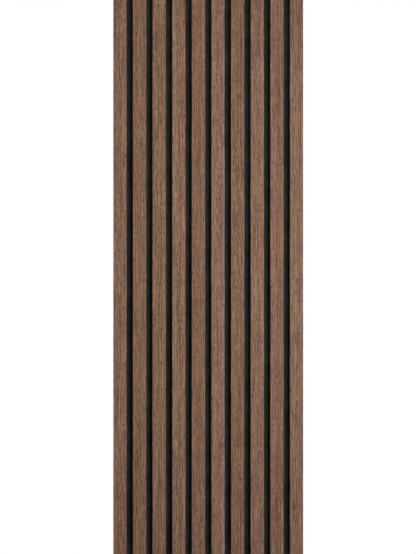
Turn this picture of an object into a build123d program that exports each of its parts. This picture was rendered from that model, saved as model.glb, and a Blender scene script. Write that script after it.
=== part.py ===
"""Slat wall panel: ten veneered fibreboard slats side by side on one felt sheet.

The panel is drawn as it hangs on a wall. X runs across the slats, Z runs up along
them, and the room is on the -Y side. The origin is the middle of the felt's back
face, which is glued or screwed to the wall. Each slat is a black fibreboard bar
with a strip of walnut veneer on its front. The slats are glued to the felt and
stapled through it from behind. All sizes are in millimetres.
"""

import os

from build123d import *

# Slat pattern across the panel
slat_count = 10
slat_width = 27.0
groove_width = 13.0

# Length, the same for slats and felt, because they are sawn together
panel_length = 1200.0

# Layers, from the wall outwards
felt_thickness = 9.0
core_thickness = 11.4
veneer_thickness = 0.6

# The felt stops this far inside the outer slats' sides
felt_inset = 0.5

# The veneer's two long front edges are sanded round
veneer_edge_radius = 0.3

# Flat wire staples that hold each slat from behind
staple_rows = 5
staple_end_distance = 60.0
staple_crown_length = 12.8
staple_leg_length = 14.0
staple_wire_thickness = 0.7
staple_wire_width = 1.2
staple_bend_radius = 0.3
staple_point_length = 0.9

# Each crown is pressed into a dimple in the felt, below its back face
staple_sink = 0.8
dimple_side_margin = 1.2

slat_pitch = slat_width + groove_width
panel_width = slat_count * slat_width + (slat_count - 1) * groove_width
felt_width = panel_width - 2 * felt_inset
panel_bottom = Plane.XY.offset(-panel_length / 2)
staple_row_spacing = (panel_length - 2 * staple_end_distance) / (staple_rows - 1)
crown_depth = staple_sink + staple_wire_thickness
dimple_length = staple_crown_length + 2 * dimple_side_margin
dimple_width = staple_wire_width + 2 * dimple_side_margin


def slat_centre(index):
    """X of a slat's middle, counting from 0 at the left side."""
    return (index - (slat_count - 1) / 2) * slat_pitch


def row_heights():
    """Z of each row of staples, from the bottom up."""
    first = -panel_length / 2 + staple_end_distance
    return [first + row * staple_row_spacing for row in range(staple_rows)]


def staple_spots(index):
    """Where the staples of one slat sit, as points on the felt's back face."""
    return [(slat_centre(index), 0, height) for height in row_heights()]


def make_staple():
    """One staple at X 0 and Z 0: a bent flat wire, its legs pointing to the room."""
    outer_x = staple_crown_length / 2
    inner_x = outer_x - staple_wire_thickness
    leg_x = (outer_x + inner_x) / 2
    crown_y = -staple_sink - staple_wire_thickness / 2
    tip_y = -staple_sink - staple_leg_length
    with BuildPart() as staple:
        with BuildLine() as bent_wire:
            FilletPolyline(
                (-leg_x, tip_y),
                (-leg_x, crown_y),
                (leg_x, crown_y),
                (leg_x, tip_y),
                radius=staple_bend_radius + staple_wire_thickness / 2,
            )
        with BuildSketch(Plane(bent_wire.line @ 0, x_dir=(1, 0, 0), z_dir=bent_wire.line % 0)):
            Rectangle(staple_wire_thickness, staple_wire_width)
        sweep()
        # Each leg is cut to a point on its inner side
        with BuildSketch(Plane.XY.offset(-staple_wire_width / 2)):
            with BuildLine():
                Polyline(
                    (outer_x, tip_y),
                    (inner_x, tip_y),
                    (inner_x, tip_y + staple_point_length),
                    close=True,
                )
            make_face()
            mirror(about=Plane.YZ)
        extrude(amount=staple_wire_width, mode=Mode.SUBTRACT)
    return staple.part


def make_slat_core(index, staple):
    """The fibreboard bar of one slat, with the slits that its staples made."""
    with BuildPart() as slat_core:
        with BuildSketch(panel_bottom):
            with Locations((slat_centre(index), -felt_thickness)):
                Rectangle(slat_width, core_thickness, align=(Align.CENTER, Align.MAX))
        extrude(amount=panel_length)
        with Locations(*staple_spots(index)):
            add(staple, mode=Mode.SUBTRACT)
    slat_core.part.label = f"slat_core_{index + 1:02d}"
    return slat_core.part


def make_slat_veneer(index):
    """The veneer strip on the front of one slat, its long front edges rounded."""
    with BuildPart() as slat_veneer:
        with BuildSketch(panel_bottom) as section:
            with Locations((slat_centre(index), -felt_thickness - core_thickness)):
                Rectangle(slat_width, veneer_thickness, align=(Align.CENTER, Align.MAX))
            fillet(section.vertices().group_by(Axis.Y)[0], veneer_edge_radius)
        extrude(amount=panel_length)
    slat_veneer.part.label = f"slat_veneer_{index + 1:02d}"
    return slat_veneer.part


def make_felt_backing(staple):
    """The felt sheet that carries all the slats, dimpled and pierced by the staples."""
    spots = [spot for index in range(slat_count) for spot in staple_spots(index)]
    with BuildPart() as felt_backing:
        with BuildSketch(panel_bottom):
            Rectangle(felt_width, felt_thickness, align=(Align.CENTER, Align.MAX))
        extrude(amount=panel_length)
        with BuildSketch(Plane.XZ):
            with Locations(*[(x, z) for x, y, z in spots]):
                SlotOverall(dimple_length, dimple_width)
        extrude(amount=crown_depth, mode=Mode.SUBTRACT)
        with Locations(*spots):
            add(staple, mode=Mode.SUBTRACT)
    felt_backing.part.label = "felt_backing"
    return felt_backing.part


def make_staples(staple):
    """All the staples of the panel, one loose solid each."""
    with BuildPart() as staples:
        for index in range(slat_count):
            with Locations(*staple_spots(index)):
                add(staple)
    staples.part.label = "staples"
    return staples.part


one_staple = make_staple()
pieces = [make_felt_backing(one_staple), make_staples(one_staple)]
for slat in range(slat_count):
    pieces.append(make_slat_core(slat, one_staple))
    pieces.append(make_slat_veneer(slat))

os.makedirs("parts", exist_ok=True)
for piece in pieces:
    export_step(piece, f"parts/{piece.label}.step")
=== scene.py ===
"""Slat wall panel: ten walnut-veneered slats on a black felt sheet, dressed for its picture."""

import math

import bpy
import numpy as np
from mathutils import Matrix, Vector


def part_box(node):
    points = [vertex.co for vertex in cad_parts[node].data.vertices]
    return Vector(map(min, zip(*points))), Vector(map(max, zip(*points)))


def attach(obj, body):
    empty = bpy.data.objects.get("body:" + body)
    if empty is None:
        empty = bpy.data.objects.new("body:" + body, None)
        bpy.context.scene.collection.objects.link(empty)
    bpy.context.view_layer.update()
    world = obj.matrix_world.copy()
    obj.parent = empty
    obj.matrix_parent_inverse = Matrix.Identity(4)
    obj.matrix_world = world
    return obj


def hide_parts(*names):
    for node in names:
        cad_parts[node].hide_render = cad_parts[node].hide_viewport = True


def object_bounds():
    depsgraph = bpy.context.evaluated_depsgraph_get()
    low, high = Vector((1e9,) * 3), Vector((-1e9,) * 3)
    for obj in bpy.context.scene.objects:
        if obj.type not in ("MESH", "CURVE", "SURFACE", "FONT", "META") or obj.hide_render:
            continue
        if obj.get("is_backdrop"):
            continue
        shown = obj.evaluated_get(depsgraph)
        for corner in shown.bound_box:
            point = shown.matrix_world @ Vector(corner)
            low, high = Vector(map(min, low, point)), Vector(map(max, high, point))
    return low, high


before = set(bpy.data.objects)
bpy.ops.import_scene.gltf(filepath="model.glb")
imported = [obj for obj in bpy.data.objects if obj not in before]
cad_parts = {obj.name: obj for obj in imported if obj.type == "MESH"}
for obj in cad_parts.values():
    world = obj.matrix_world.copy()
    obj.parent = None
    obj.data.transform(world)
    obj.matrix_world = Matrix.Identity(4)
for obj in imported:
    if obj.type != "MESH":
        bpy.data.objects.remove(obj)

cad_low, cad_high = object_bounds()

# Slat cores
# Ten bars of black-dyed fibreboard, ripped side by side out of one veneered board
# on a gang saw. They are glued to the felt, and sawn to length together with it.

MM = 0.001
core_names = sorted(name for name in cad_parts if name.startswith("slat_core_"))
core_boxes = [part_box(name) for name in core_names]
core_arris = 0.1 * MM
core_point_gap = 3 * MM
core_ring_gap = 12 * MM
core_map_rows = 7
core_end_rows = 0.6
board_black = (0.0105, 0.0102, 0.0100, 1)
board_clouded = (0.0145, 0.0140, 0.0135, 1)
board_heart = (0.019, 0.018, 0.017, 1)
board_fibre = (0.040, 0.036, 0.032, 1)
board_relief = 0.10 * MM

# A bar's bake map: margins as shares of the map, of a row and of the ends' row, the
# share of the map's width that an end takes, and what a hidden face keeps of its own
map_side_margin = 0.004
map_top_margin = 0.002
map_row_margin = 0.02
map_end_margin = 0.06
map_end_width = 0.49
map_hidden_width = 0.03


class Value:
    """One socket of a material. Arithmetic on it adds the Math node that works it out."""

    def __init__(self, tree, socket):
        self.tree = tree
        self.socket = socket

    def node(self, kind, settings, inputs, output=0):
        """Adds a node: its settings first, then the values or links of its sockets."""
        made = self.tree.nodes.new(kind)
        for name, setting in settings.items():
            setattr(made, name, setting)
        for name, value in inputs.items():
            if isinstance(value, Value):
                self.tree.links.new(value.socket, made.inputs[name])
            else:
                made.inputs[name].default_value = value
        return Value(self.tree, made.outputs[output])

    def maths(self, operation, *terms):
        """A Math node on these terms, or on this value alone if there are none."""
        return self.node(
            "ShaderNodeMath", {"operation": operation}, dict(enumerate(terms or (self,)))
        )

    def __add__(self, other):
        return self.maths("ADD", self, other)

    __radd__ = __add__

    def __sub__(self, other):
        return self.maths("SUBTRACT", self, other)

    def __rsub__(self, other):
        return self.maths("SUBTRACT", other, self)

    def __mul__(self, other):
        return self.maths("MULTIPLY", self, other)

    __rmul__ = __mul__

    def __truediv__(self, other):
        return self.maths("DIVIDE", self, other)

    def __rtruediv__(self, other):
        return self.maths("DIVIDE", other, self)

    def __abs__(self):
        return self.maths("ABSOLUTE")

    def at_least(self, other):
        """This value, or the other one where that is more."""
        return self.maths("MAXIMUM", self, other)

    def rise(self, start, end):
        """0 up to start and 1 from end on, with a smooth step between them."""
        settings = {"interpolation_type": "SMOOTHSTEP"}
        return self.node("ShaderNodeMapRange", settings, {"Value": self, 1: start, 2: end})

    def mix(self, first, second):
        """The first colour where this value is 0, and the second where it is 1."""
        settings = {"data_type": "RGBA", "clamp_factor": True}
        return self.node("ShaderNodeMix", settings, {0: self, 6: first, 7: second}, 2)

    def axis(self, name):
        """One coordinate, X, Y or Z, of a vector."""
        return self.node("ShaderNodeSeparateXYZ", {}, {0: self}, "XYZ".index(name))

    def vector(self, x, y, z):
        """A vector of three values or numbers."""
        return self.node("ShaderNodeCombineXYZ", {}, {0: x, 1: y, 2: z})

    def noise(self, scale=1.0, detail=0.0, distortion=0.0):
        """Soft noise at this vector, from 0 to 1 and mostly near 0.5."""
        inputs = {"Vector": self, "Scale": scale, "Detail": detail, "Distortion": distortion}
        return self.node("ShaderNodeTexNoise", {}, inputs)

    def cells(self, settings, inputs):
        """How far this vector is from the nearest middle of a Voronoi cell."""
        return self.node("ShaderNodeTexVoronoi", settings, {"Vector": self, **inputs})


def new_finish(name):
    """An empty material, its shader, and its place on the object in millimetres."""
    material = bpy.data.materials.new(name)
    material.use_nodes = True
    tree = material.node_tree
    shader = tree.nodes["Principled BSDF"]
    metres = Value(tree, tree.nodes.new("ShaderNodeTexCoord").outputs["Object"])
    settings = {"operation": "SCALE"}
    place = metres.node("ShaderNodeVectorMath", settings, {0: metres, "Scale": 1 / MM})
    return material, shader, place


def dress(shader, colour, roughness, height, relief):
    """Links colour and roughness, and a bump of the given height, relief in metres deep."""
    settings = {"Height": height, "Distance": relief, "Strength": 1.0}
    bump = colour.node("ShaderNodeBump", {}, settings)
    for name, value in (("Base Color", colour), ("Roughness", roughness), ("Normal", bump)):
        colour.tree.links.new(value.socket, shader.inputs[name])


def black_board_finish():
    """Fibreboard dyed black right through, with saw marks and paler single fibres.

    The sawn ends show the board's open heart, paler than the dense skins near its
    two faces. Saw marks are noise drawn out nearly level, one every millimetre or
    so, counted up the sides and from front to back on the ends. Fuzz is finer noise.
    """
    material, shader, place = new_finish("black_fibreboard")
    x, y, z = place.axis("X"), place.axis("Y"), place.axis("Z")
    front, back = (corner.y / MM for corner in core_boxes[0])
    end = core_boxes[0][1].z / MM
    fibres = place.noise(3.2, detail=2.0, distortion=1.5).rise(0.60, 0.78)
    clouds = place.noise(0.12, detail=2.0)
    on_end = abs(z).rise(end - 0.15, end - 0.05)
    from_middle = abs(y - (front + back) / 2) / ((back - front) / 2)
    heart = (1 - from_middle.rise(0.55, 0.95)) * on_end
    colour = heart.mix(clouds.mix(board_black, board_clouded), board_heart)
    colour = (fibres * (0.35 + 0.5 * heart)).mix(colour, board_fibre)
    lean = x * 0.05 + y * 0.07
    side_marks = place.vector(lean * 0.1, 0, z * 0.9 + lean).noise(detail=2.0)
    end_marks = place.vector(x * 0.02, y * 0.9 + x * 0.03, 0).noise(detail=2.0)
    marks = side_marks * (1 - on_end) + end_marks * on_end
    fuzz = place.noise(2.4, detail=3.0, distortion=0.6)
    shader.inputs["Specular IOR Level"].default_value = 0.18
    dress(shader, colour, 0.82 + 0.12 * fuzz, marks * 0.7 + fuzz, board_relief)
    return material


def evenly(low, high, gap):
    """Numbers from low to high, both included, in equal steps of about gap."""
    return np.linspace(low, high, max(1, round((high - low) / gap)) + 1)


def bar_outline(low, high, radius, front_x, back_x, side_y, arc_steps=5):
    """A bar's outline seen from above, anticlockwise from its front left corner.

    It is a rectangle from low to high whose two front corners are quarter circles:
    the corner's centre plus radius times (cos a, sin a). front_x, back_x and side_y
    are further points on the straight faces, where they lie between the corners.
    """
    quarter = np.linspace(0, math.pi / 2, arc_steps + 1)
    arc_in, arc_out = radius * (1 - np.cos(quarter)), radius * (1 - np.sin(quarter))
    front_x = front_x[(front_x > low[0] + radius) & (front_x < high[0] - radius)]
    back_x = back_x[(back_x > low[0]) & (back_x < high[0])]
    side_y = side_y[(side_y > low[1] + radius) & (side_y < high[1])]
    right, left = np.full(len(side_y) + 1, high[0]), np.full(len(side_y) + 1, low[0])
    front, back = np.full(len(front_x), low[1]), np.full(len(back_x) + 2, high[1])
    x_runs = [low[0] + arc_in, front_x, high[0] - arc_out, right, back_x[::-1], left]
    y_runs = [low[1] + arc_out, front, low[1] + arc_in, side_y, back, side_y[::-1]]
    return np.concatenate(x_runs), np.concatenate(y_runs)


def ring_heights(low, high, gap, map_rows):
    """Heights of a bar's rings, with one at every fold of its bake map."""
    folds = np.linspace(low, high, map_rows + 1)
    runs = [evenly(a, b, gap)[:-1] for a, b in zip(folds[:-1], folds[1:])]
    return np.concatenate(runs + [folds[-1:]])


def inset(share, margin):
    """A share from 0 to 1, drawn in by the margin at both ends."""
    return margin + (1 - 2 * margin) * share


def skin_bar(name, x, y, z, hidden, map_rows, end_rows):
    """A closed bar of rings: point i of ring j is (x[j, i], y[j, i], z[j]).

    The first and last rings are closed by flat ends. Its bake map cuts the length
    into equal rows, one above the other, and lays both ends side by side in a last
    row of its own height. Across a row each face has its share of the girth, and a
    face that hidden marks, pressed on its neighbour, only a sliver.
    """
    rings, points = x.shape
    heights = np.broadcast_to(z[:, None], x.shape)
    place = np.stack([x, y, heights], axis=-1).reshape(-1, 3)
    here = np.arange(rings * points).reshape(rings, points)
    beside = np.roll(here, -1, axis=1)
    faces = np.stack([here[:-1], beside[:-1], beside[1:], here[1:]], axis=-1)
    ends = [here[0, ::-1].tolist(), here[-1].tolist()]
    mesh = bpy.data.meshes.new(name)
    mesh.from_pydata(place, [], faces.reshape(-1, 4).tolist() + ends)

    width = np.hypot(np.roll(x[0], -1) - x[0], np.roll(y[0], -1) - y[0])
    width = np.where(hidden, map_hidden_width * width, width)
    girth = np.concatenate([[0], np.cumsum(width) / width.sum()])
    along = (z - z[0]) / (z[-1] - z[0]) * map_rows
    row = np.floor((along[:-1] + along[1:]) / 2)
    start, end = along[:-1] - row, along[1:] - row
    u = np.stack(np.broadcast_arrays(*[s[:, None] for s in (start, start, end, end)]), axis=-1)
    u = np.broadcast_to(u, (rings - 1, points, 4))
    v = np.stack([girth[:-1], girth[1:], girth[1:], girth[:-1]], axis=-1)
    v = row[:, None, None] + inset(v[None], map_row_margin)
    end_x, end_y = (x[0] - x.min()) / np.ptp(x), (y[0] - y.min()) / np.ptp(y)
    bottom_u = map_end_width * (1 - end_x[::-1])
    top_u = 1 - map_end_width * (1 - end_x)
    end_v = map_rows + end_rows * inset(end_y, map_end_margin)
    share_u = np.concatenate([1 - u.ravel(), bottom_u, top_u])
    share_v = np.concatenate([v.ravel(), end_v[::-1], end_v]) / (map_rows + end_rows)
    bake_map = [inset(share_u, map_side_margin), inset(share_v, map_top_margin)]
    bake_map = np.stack(bake_map, axis=-1)
    mesh.uv_layers.new(name="OFBake").data.foreach_set("uv", bake_map.ravel())
    mesh.shade_smooth()
    mesh.set_sharp_from_angle(angle=math.radians(30))
    piece = bpy.data.objects.new(name, mesh)
    bpy.context.scene.collection.objects.link(piece)
    return piece


def lies_on(line, values):
    """True where a value is on the line, but for rounding."""
    return np.isclose(values, line, atol=1e-4 * MM)


def both_on(line, values):
    """True where an outline's face, from each point to the next, has both its ends on line."""
    on_line = lies_on(line, values)
    return on_line & np.roll(on_line, -1)


board_finish = black_board_finish()
for number, (low, high) in enumerate(core_boxes, start=1):
    across = evenly(low.x, high.x, core_point_gap)
    side_y = evenly(low.y, high.y, core_point_gap)
    outline_x, outline_y = bar_outline(low, high, core_arris, across, across, side_y, 2)
    heights = ring_heights(low.z, high.z, core_ring_gap, core_map_rows)
    ring_shape = (len(heights), len(outline_x))
    core = skin_bar(
        f"black_core_{number:02d}",
        np.broadcast_to(outline_x, ring_shape),
        np.broadcast_to(outline_y, ring_shape),
        heights,
        both_on(low.y, outline_y) | both_on(high.y, outline_y),
        core_map_rows,
        core_end_rows,
    )
    core.data.materials.append(board_finish)
    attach(core, "root")
    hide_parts(core_names[number - 1])

# Walnut veneer
# Ten strips of sliced walnut, glued to the board before it was ripped, so each ends
# flush with its core. Their long front edges are sanded round, and they are oiled.

veneer_names = sorted(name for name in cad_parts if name.startswith("slat_veneer_"))
slat_pitch = core_boxes[1][0].x - core_boxes[0][0].x
veneer_radius = 0.3 * MM
veneer_edge_band = 0.2 * MM
veneer_point_gap = 1.5 * MM
veneer_side_gap = 0.3 * MM
veneer_ring_gap = 4 * MM
veneer_waves = 0.025 * MM
veneer_wear = 0.05 * MM
veneer_map_rows = 6
veneer_end_rows = 0.08

# Seeds of each leaf's shade, its warmth and the strength of its grain, and how far
# apart the leaves lie in the noise
leaf_seed = 10831.0
leaf_hue_seed = 21972.0
leaf_figure_seed = 49997.0
leaf_spacing = 37.0

# The ramp from dark to pale, then the tints of greyer and warmer wood
walnut_shades = (
    (0.00, (0.066, 0.033, 0.019, 1)),
    (0.30, (0.134, 0.068, 0.037, 1)),
    (0.50, (0.190, 0.100, 0.058, 1)),
    (0.70, (0.247, 0.134, 0.080, 1)),
    (1.00, (0.345, 0.198, 0.124, 1)),
)
walnut_grey = (0.945, 1.010, 1.075, 1)
walnut_warm = (1.060, 0.987, 0.922, 1)
pore_brown = (0.045, 0.023, 0.014, 1)
pore_width = 0.62
pore_length = 9.0
walnut_relief = 0.08 * MM

# Width across the grain and length along it, in millimetres, and strength
walnut_grain = (
    (0.30, 6, 0.75),
    (0.34, 45, 0.80),
    (0.9, 3.5, 0.42),
    (0.95, 9, 0.62),
    (1.0, 22, 0.64),
    (1.1, 48, 0.48),
    (1.3, 96, 0.38),
    (1.4, 200, 0.24),
    (1.6, 2400, 0.60),
)


def walnut_finish():
    """Straight-grained walnut, every slat cut from another leaf.

    The shade is a tone for the leaf, soft clouds, and the sum of the noises in
    walnut_grain, drawn out along Z and stronger in some leaves than in others. Short
    flecks are where one more such noise runs high. A painted highlight makes the wood a
    little paler towards each slat's long edges. Pores are the middles of long thin Voronoi
    cells, and fade where
    the grain is pale. The hue drifts between grey and warm in patches of its own.
    """
    material, shader, place = new_finish("walnut_veneer")
    x, z = place.axis("X"), place.axis("Z")
    pitch = slat_pitch / MM
    leaf = (x / pitch).maths("FLOOR")
    own = leaf * leaf_spacing

    def of_leaf(seed):
        """A random number from 0 to 1 for each leaf."""
        settings = {"noise_dimensions": "1D"}
        return leaf.node("ShaderNodeTexWhiteNoise", settings, {"W": leaf + seed})

    # The grain drifts sideways a little, and leans another way in each leaf
    leaf_tone = of_leaf(leaf_seed)
    drift = place.vector(own, 3.0, z / 260).noise(detail=1.0) - 0.5
    across = x + 3.0 * drift + (leaf_tone - 0.5) * z * 0.002
    # Painted highlight: the share of it, rising from 4 mm to 13 mm off the slat's middle
    # towards its long edges
    edge_highlight = abs((leaf + 0.5) * pitch - x).rise(4.0, 13.0)

    def streaks(width, length, shift, detail=0.0):
        """Noise about width across the grain and length along it, around 0."""
        spot = place.vector(across / width + own, shift, z / length + own)
        return spot.noise(detail=detail) - 0.5

    grain = [
        streaks(width, length, shift=7.0 * width + 0.1 * length)
        for width, length, strength in walnut_grain
    ]
    finest, fine, threads, broad = grain[0], grain[1], grain[4], grain[5]
    clouds = streaks(15.0, 130.0, shift=47.0, detail=1.0)
    flecks = streaks(1.5, 14.0, shift=83.0).rise(0.16, 0.25)
    figure = 0.82 + 0.4 * of_leaf(leaf_figure_seed)
    # The tone takes in the painted highlight towards the slat's long edges
    tone = 0.503 + 0.31 * clouds + 0.16 * (leaf_tone - 0.5) + 0.055 * edge_highlight - 0.45 * flecks
    for (width, length, strength), part in zip(walnut_grain, grain):
        tone = tone + strength * part * figure

    hue = 0.5 + 1.6 * streaks(5.0, 150.0, shift=59.0, detail=1.0)
    hue = hue + 1.0 * streaks(9.0, 32.0, shift=71.0) + 0.41 * (of_leaf(leaf_hue_seed) - 0.63)
    spot = place.vector(across / pore_width + own, z / pore_length + own, 0)
    nearest = spot.cells({"voronoi_dimensions": "2D"}, {"Scale": 1.0})
    pores = (1 - nearest.rise(0.16, 0.28)) * (0.5 - 2.0 * grain[-2]).rise(0.0, 0.8)

    ramp = tone.node("ShaderNodeValToRGB", {}, {"Fac": tone})
    stops = ramp.socket.node.color_ramp.elements
    for extra in walnut_shades[2:]:
        stops.new(extra[0])
    for stop, (position, shade) in zip(stops, walnut_shades):
        stop.position, stop.color = position, shade
    tint = hue.mix(walnut_grey, walnut_warm)
    settings = {"data_type": "RGBA", "blend_type": "MULTIPLY"}
    colour = ramp.node("ShaderNodeMix", settings, {0: 1.0, 6: ramp, 7: tint}, 2)
    colour = (0.75 * pores).mix(colour, pore_brown)
    shader.inputs["Specular IOR Level"].default_value = 0.25
    roughness = 0.56 - 0.35 * broad + 0.2 * pores
    height = 0.35 * threads + 0.35 * finest + 0.3 * fine - 0.8 * pores
    dress(shader, colour, roughness, height, walnut_relief)
    return material


def wave(*angles):
    """The mean of one or more waves from 0 to 1, each of them half of 1 + sin angle."""
    return sum(1 + np.sin(angle) for angle in angles) / (2 * len(angles))


walnut = walnut_finish()
for number, node in enumerate(veneer_names, start=1):
    low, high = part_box(node)
    across = evenly(low.x, high.x, veneer_point_gap)
    near_edge = veneer_radius + veneer_edge_band
    front_x = np.sort([low.x + near_edge, *across[1:-1], high.x - near_edge])
    side_y = evenly(low.y, high.y, veneer_side_gap)
    outline_x, outline_y = bar_outline(low, high, veneer_radius, front_x, across, side_y)
    heights = ring_heights(low.z, high.z, veneer_ring_gap, veneer_map_rows)
    up = heights[:, None]
    ring_x, ring_y = np.broadcast_arrays(outline_x, outline_y + 0 * up)
    # The face is uneven by up to veneer_waves, always inwards
    faced = outline_y < low.y + veneer_radius
    unevenness = wave(
        ring_x / (6.1 * MM) + up / (47 * MM) + number,
        up / (29 * MM) - ring_x / (9.7 * MM) + 2.3 * number,
    )
    # The round edges are worn: they lie further in, by up to veneer_wear both ways
    rounded = faced & ~lies_on(low.y, outline_y)
    side = np.sign(outline_x - (low.x + high.x) / 2)
    worn = rounded * wave(up / (61 * MM) + 1.9 * number + side) * veneer_wear
    leaf = skin_bar(
        f"walnut_leaf_{number:02d}",
        ring_x - side * worn,
        ring_y + faced * unevenness * veneer_waves + worn,
        heights,
        both_on(high.y, outline_y),
        veneer_map_rows,
        veneer_end_rows,
    )
    leaf.data.materials.append(walnut)
    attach(leaf, "root")
    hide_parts(node)

# Felt sheet
# One sheet of pressed black polyester felt, needled from both sides. The slats are
# glued on its front, and each staple's crown pulls a dimple into its back.

felt_low, felt_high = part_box("felt_backing")
staple_low, staple_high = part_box("staples")
slat_middles = np.array([(low.x + high.x) / 2 for low, high in core_boxes])
slat_width = core_boxes[0][1].x - core_boxes[0][0].x
groove_middles = (slat_middles[1:] + slat_middles[:-1]) / 2
groove_half = (slat_pitch - slat_width) / 2
half_crown = (staple_high.x - staple_low.x - np.ptp(slat_middles)) / 2
staple_row_gap = 10 * MM
wire_thickness = 0.7 * MM
wire_half_width = 0.6 * MM
crown_depth = -staple_high.y + wire_thickness
dimple_reach = 2.2 * MM
gather_depth = 0.35 * MM
gather_reach = 9 * MM
felt_arris = 0.4 * MM
felt_swell = 0.15 * MM
felt_unevenness = 0.12 * MM
felt_raggedness = 0.2 * MM
felt_side_gap = 1.5 * MM
felt_ring_gap = 12 * MM
felt_map_rows = 2
felt_end_rows = 0.06
felt_black = (0.0140, 0.0140, 0.0140, 1)
felt_grey = (0.106, 0.106, 0.105, 1)
felt_relief = 0.45 * MM

# Closer rings and points at the staples: steps from a row, which stand in for the
# even rings within row_band of it, and steps from a crown's end
row_steps = np.array([0, 0.3, 0.62, 0.9, 1.2, 1.5, 1.8, 2.1, 2.5, 2.9, 4.0, 6.5]) * MM
row_band = 8 * MM
past_crown = np.array([0.6, 1.1, 1.7, 2.3, 2.9, 4.5, 8.5]) * MM


def ease(share):
    """0 below 0, 1 above 1, and 3 s s - 2 s s s between them."""
    share = np.clip(share, 0, 1)
    return share * share * (3 - 2 * share)


def nearest_gap(values, marks):
    """How far each value is from the nearest mark."""
    return np.abs(values[..., None] - marks).min(axis=-1)


def both_ways(steps):
    """Steps that start at 0, with their mirror image before them."""
    return np.concatenate([-steps[:0:-1], steps])


def dimple(x, z):
    """How deep the felt's back lies at x, z, by the distance from the nearest crown.

    It is the crown's depth under the wire, easing to nothing over dimple_reach, and
    a shallow wide gather, which eases in over dimple_reach and out by gather_reach.
    """
    beyond = np.maximum(nearest_gap(x, slat_middles) - half_crown, 0)
    away = np.hypot(beyond, nearest_gap(z, staple_rows)) - wire_half_width
    free = ease(away / dimple_reach)
    return crown_depth * (1 - free) + gather_depth * free * (1 - ease(away / gather_reach))


def felt_finish():
    """Black needled felt: tangled fibres, single paler ones, and needle pricks.

    Paler fibres are the lines where strongly distorted noise crosses its middle
    value, a fine set and a coarse one. They show more or less in small lumps, and
    in clouds a few centimetres wide. Pricks are the middles of Voronoi cells.
    """
    material, shader, place = new_finish("black_felt")
    tangle = place.noise(0.9, detail=3.0, distortion=3.0)
    lumps = place.noise(0.16, detail=2.0)
    clouds = place.noise(0.028, detail=1.0)
    fine = place.noise(1.1, detail=1.0, distortion=3.5) - 0.5
    coarse = place.noise(0.45, detail=1.0, distortion=4.0) - 0.5
    fibres = 1 - abs(fine).rise(0.01, 0.07) + 1 - abs(coarse).rise(0.003, 0.022)
    pricks = 1 - place.cells({}, {"Scale": 0.42, "Randomness": 0.75}).rise(0.06, 0.30)
    shown = (0.75 + 0.5 * lumps) * (2.2 * clouds - 0.1)
    colour = (0.42 * fibres * shown - 0.3 * pricks).mix(felt_black, felt_grey)
    shader.inputs["Specular IOR Level"].default_value = 0.05
    shader.inputs["Sheen Weight"].default_value = 0.08
    shader.inputs["Sheen Roughness"].default_value = 0.5
    height = tangle + 0.4 * fibres + 0.8 * lumps - 0.7 * pricks
    dress(shader, colour, 0.90 + 0.08 * tangle, height, felt_relief)
    return material


# The rows of staples: where the CAD staples' points lie, split at the long gaps
staple_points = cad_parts["staples"].data.vertices
staple_heights = np.unique(np.round([point.co.z for point in staple_points], 5))
row_breaks = np.flatnonzero(np.diff(staple_heights) > staple_row_gap) + 1
staple_rows = np.array([run.mean() for run in np.split(staple_heights, row_breaks)])

groove_steps = both_ways(np.array([0, 0.45, 0.8, 0.94, 1]) * groove_half)
front_x = (groove_middles[:, None] + groove_steps).ravel()
crown_steps = np.array([0, 0.5, 0.85]) * half_crown
crown_steps = both_ways(np.concatenate([crown_steps, half_crown + past_crown]))
back_x = (slat_middles[:, None] + crown_steps).ravel()
side_y = evenly(felt_low.y, felt_high.y, felt_side_gap)
outline_x, outline_y = bar_outline(felt_low, felt_high, felt_arris, front_x, back_x, side_y, 2)
heights = ring_heights(felt_low.z, felt_high.z, felt_ring_gap, felt_map_rows)
heights = heights[nearest_gap(heights, staple_rows) > row_band]
at_rows = (staple_rows[:, None] + both_ways(row_steps)).ravel()
heights = np.sort(np.concatenate([heights, at_rows]))
up = heights[:, None]
ring_x, ring_y = np.broadcast_arrays(outline_x, outline_y + 0 * up)

# The back: dimpled at the staples, and uneven between them
on_back = lies_on(felt_high.y, outline_y)
uneven = wave(
    ring_x / (13 * MM) + up / (31 * MM),
    up / (17 * MM) - ring_x / (23 * MM),
)
ring_y = ring_y - on_back * (dimple(ring_x, up) + uneven * felt_unevenness)

# The front: between the slats it swells out, most in the middle of each groove
swollen = 1 - (nearest_gap(outline_x, groove_middles) / groove_half) ** 2
on_front = lies_on(felt_low.y, outline_y) & (swollen > 0)
swell = felt_swell * (0.4 + 0.6 * wave(up / (19 * MM) + ring_x / MM))
ring_y = ring_y - on_front * swollen * swell

# The two cut sides: a little ragged, always inwards
from_middle = outline_x - (felt_low.x + felt_high.x) / 2
side = np.sign(from_middle) * lies_on(from_middle.max(), np.abs(from_middle))
ragged = wave(up / (7.3 * MM) + outline_y / (2 * MM))
ring_x = ring_x - side * ragged * felt_raggedness

face_x = (outline_x + np.roll(outline_x, -1)) / 2
under_slat = nearest_gap(face_x, groove_middles) > groove_half
felt = skin_bar(
    "felt_sheet",
    ring_x,
    ring_y,
    heights,
    both_on(felt_low.y, outline_y) & under_slat,
    felt_map_rows,
    felt_end_rows,
)
felt.data.materials.append(felt_finish())
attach(felt, "root")
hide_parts("felt_backing")

# Staples
# Fifty staples of flat galvanised wire, shot from behind through the felt into the
# slats. Their shape is the CAD node's own, and only their crowns show.

zinc_bright = (0.60, 0.60, 0.58, 1)
zinc_dull = (0.36, 0.36, 0.355, 1)
zinc_relief = 0.03 * MM


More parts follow.
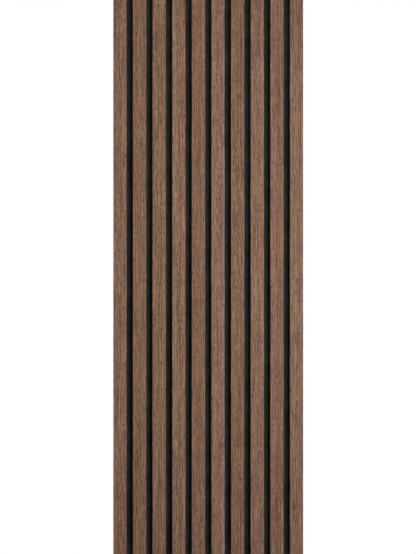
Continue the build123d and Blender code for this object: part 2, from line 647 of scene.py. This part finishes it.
def galvanised_finish():
    """Zinc on drawn wire: dull patches, and fine lines drawn out along the crown."""
    material, shader, place = new_finish("galvanised_wire")
    x, y, z = place.axis("X"), place.axis("Y"), place.axis("Z")
    patches = place.noise(0.9, detail=2.0).rise(0.38, 0.66)
    lines = place.vector(x * 0.15, y * 6, z * 6).noise(detail=2.0)
    shader.inputs["Metallic"].default_value = 1.0
    colour = (0.75 * patches).mix(zinc_bright, zinc_dull)
    dress(shader, colour, 0.34 + 0.2 * patches, lines, zinc_relief)
    return material


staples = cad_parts["staples"]
staples.data.materials.clear()
staples.data.materials.append(galvanised_finish())

# Camera
# It looks straight at the panel through a long lens, as the photograph does, half a
# millimetre left of its middle. It shows all the width and 1129 mm of the height.

shown_height = 1128.9 * MM
camera_distance = 12.0
camera_aside = -0.47 * MM

camera = bpy.data.cameras.new("front_camera")
camera.sensor_width = 36
camera.lens = camera.sensor_width * camera_distance / shown_height
camera.clip_end = 5 * camera_distance
camera_stand = bpy.data.objects.new("front_camera", camera)
camera_stand.location = (camera_aside, cad_low.y - camera_distance, 0)
camera_stand.rotation_euler = (math.radians(90), 0, 0)
bpy.context.scene.collection.objects.link(camera_stand)
bpy.context.scene.camera = camera_stand

# Floor
# A pale round floor that the panel stands on. It keeps the shadow near the panel,
# and melts into the white around it further off.

floor_radius = 4.0
floor_points = 96

# Millimetres from the panel's foot up to which the shadow is kept, and where it is gone
shadow_kept = 200.0
shadow_gone = 740.0

# The floor's shade for the camera, its darker shade for bounced light, and its glow
floor_pale = (0.95, 0.95, 0.95, 1)
floor_bounce = (0.30, 0.30, 0.30, 1)
floor_glow = 0.37


def seen_share(tree):
    """1 for what the camera sees, also in gloss and through glass, and 0 for other light."""
    path = tree.nodes.new("ShaderNodeLightPath").outputs
    rays = ("Is Camera Ray", "Is Glossy Ray", "Is Transmission Ray")
    direct, glossy, through = (Value(tree, path[ray]) for ray in rays)
    return direct.at_least(glossy).at_least(through)


def floor_finish():
    """Pale near the panel, and plain white beyond, by the distance from its foot.

    For the camera it also glows a little, so it is nearly white outside the shadow.
    """
    material = bpy.data.materials.new("pale_floor")
    material.use_nodes = True
    tree = material.node_tree
    tree.nodes.remove(tree.nodes["Principled BSDF"])
    metres = Value(tree, tree.nodes.new("ShaderNodeTexCoord").outputs["Object"])
    x, y = metres.axis("X"), metres.axis("Y")
    beyond = (abs(x) - cad_high.x).at_least(0.0)
    away = (beyond * beyond + y * y).maths("SQRT") / MM
    seen = seen_share(tree)
    shade = seen.mix(floor_bounce, floor_pale)
    matte = seen.node("ShaderNodeBsdfDiffuse", {}, {"Color": shade})
    glow = seen.node("ShaderNodeEmission", {}, {"Strength": floor_glow * seen})
    near = seen.node("ShaderNodeAddShader", {}, {0: matte, 1: glow})
    white = seen.node("ShaderNodeEmission", {}, {"Strength": 1.0})
    share = away.rise(shadow_kept, shadow_gone) * seen
    both = seen.node("ShaderNodeMixShader", {}, {0: share, 1: near, 2: white})
    tree.links.new(both.socket, tree.nodes["Material Output"].inputs["Surface"])
    return material


turn = np.linspace(0, 2 * math.pi, floor_points, endpoint=False)
rim_x, rim_y = floor_radius * np.cos(turn), floor_radius * np.sin(turn)
rim = np.stack([rim_x, rim_y, np.full(floor_points, cad_low.z)], axis=-1)
floor_mesh = bpy.data.meshes.new("floor")
floor_mesh.from_pydata(rim, [], [list(range(floor_points))])
floor_mesh.materials.append(floor_finish())
floor = bpy.data.objects.new("floor", floor_mesh)
bpy.context.scene.collection.objects.link(floor)
floor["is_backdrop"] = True

# Light
# A large soft lamp with a narrowed beam on the right in front, a smaller one high in
# front, one behind for the back, and a dim even sky that the camera sees as white.

sky_strength = 0.232

# Name, where it stands, what it points at, width and height, watts, angle of its beam
lamp_plan = (
    ("key_lamp", (1.56, -2.42, 0.17), (-0.1, 0, 0), (1.20, 0.72), 10.0, math.radians(62.5)),
    ("top_lamp", (0, -0.865, 1.18), (0, 0, 0), (1.20, 0.60), 3.16, math.pi),
    ("back_lamp", (-1.3, 2.3, 1.2), (0, 0, 0), (1.2, 1.2), 40.0, math.pi),
)

for name, spot, aim, size, watts, beam in lamp_plan:
    lamp = bpy.data.lights.new(name, "AREA")
    lamp.shape = "RECTANGLE"
    lamp.size, lamp.size_y = size
    lamp.energy = watts
    lamp.spread = beam
    stand = bpy.data.objects.new(name, lamp)
    away_x, away_y, away_z = np.array(spot) - np.array(aim)
    stand.location = spot
    tilt = math.atan2(math.hypot(away_x, away_y), away_z)
    stand.rotation_euler = (tilt, 0, math.atan2(-away_x, away_y) + math.pi)
    stand.visible_camera = False
    bpy.context.scene.collection.objects.link(stand)

world = bpy.data.worlds.new("studio")
world.use_nodes = True
background = world.node_tree.nodes["Background"]
background.inputs["Color"].default_value = (1, 1, 1, 1)
strength = sky_strength + (1 - sky_strength) * seen_share(world.node_tree)
world.node_tree.links.new(strength.socket, background.inputs["Strength"])
bpy.context.scene.world = world
bpy.context.scene.view_settings.view_transform = "Standard"

low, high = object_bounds()
